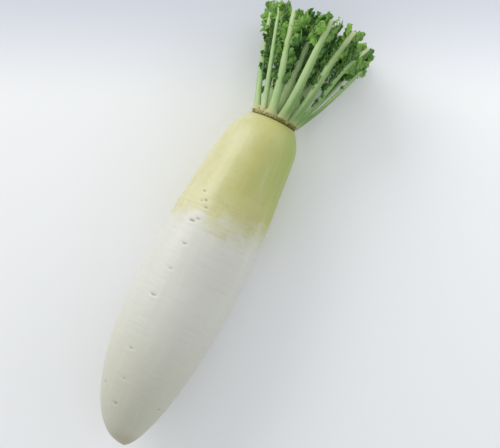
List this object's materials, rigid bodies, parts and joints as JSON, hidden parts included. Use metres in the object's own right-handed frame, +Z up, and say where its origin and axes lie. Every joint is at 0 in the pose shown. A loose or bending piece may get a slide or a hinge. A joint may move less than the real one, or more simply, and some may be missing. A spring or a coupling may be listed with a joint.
{
  "type": "daikon radish",
  "caption": "Long white winter radish with a pale green shoulder, lying on its side, its leaf stalks cut short above the brown crown.",
  "frame": {"origin": "middle of the underside of the bounding box, on the surface that the radish lies on", "axes": "+X from the tail tip to the cut ends of the leaf stalks, +Z up from the surface, +Y to the left of +X seen from above"},
  "size_m": [0.3934, 0.1074, 0.0832],
  "materials": {
    "root_skin": "smooth, faintly moist skin, white to pale green",
    "crown_cork": "dry, corky",
    "leaf_stalk": "smooth, finely ribbed stalk with darker, matt leaflets"
  },
  "bodies": {
    "root": {"root": "root_skin", "crown": "crown_cork", "stalk_outer_1": "leaf_stalk", "stalk_outer_2": "leaf_stalk", "stalk_outer_3": "leaf_stalk", "stalk_outer_4": "leaf_stalk", "stalk_outer_5": "leaf_stalk", "stalk_outer_6": "leaf_stalk", "stalk_outer_7": "leaf_stalk", "stalk_outer_8": "leaf_stalk", "stalk_outer_9": "leaf_stalk", "stalk_outer_10": "leaf_stalk", "stalk_outer_11": "leaf_stalk", "stalk_outer_12": "leaf_stalk", "stalk_middle_1": "leaf_stalk", "stalk_middle_2": "leaf_stalk", "stalk_middle_3": "leaf_stalk", "stalk_middle_4": "leaf_stalk", "stalk_middle_5": "leaf_stalk", "stalk_inner_1": "leaf_stalk", "stalk_inner_2": "leaf_stalk", "stalk_inner_3": "leaf_stalk"}
  },
  "joints": []
}
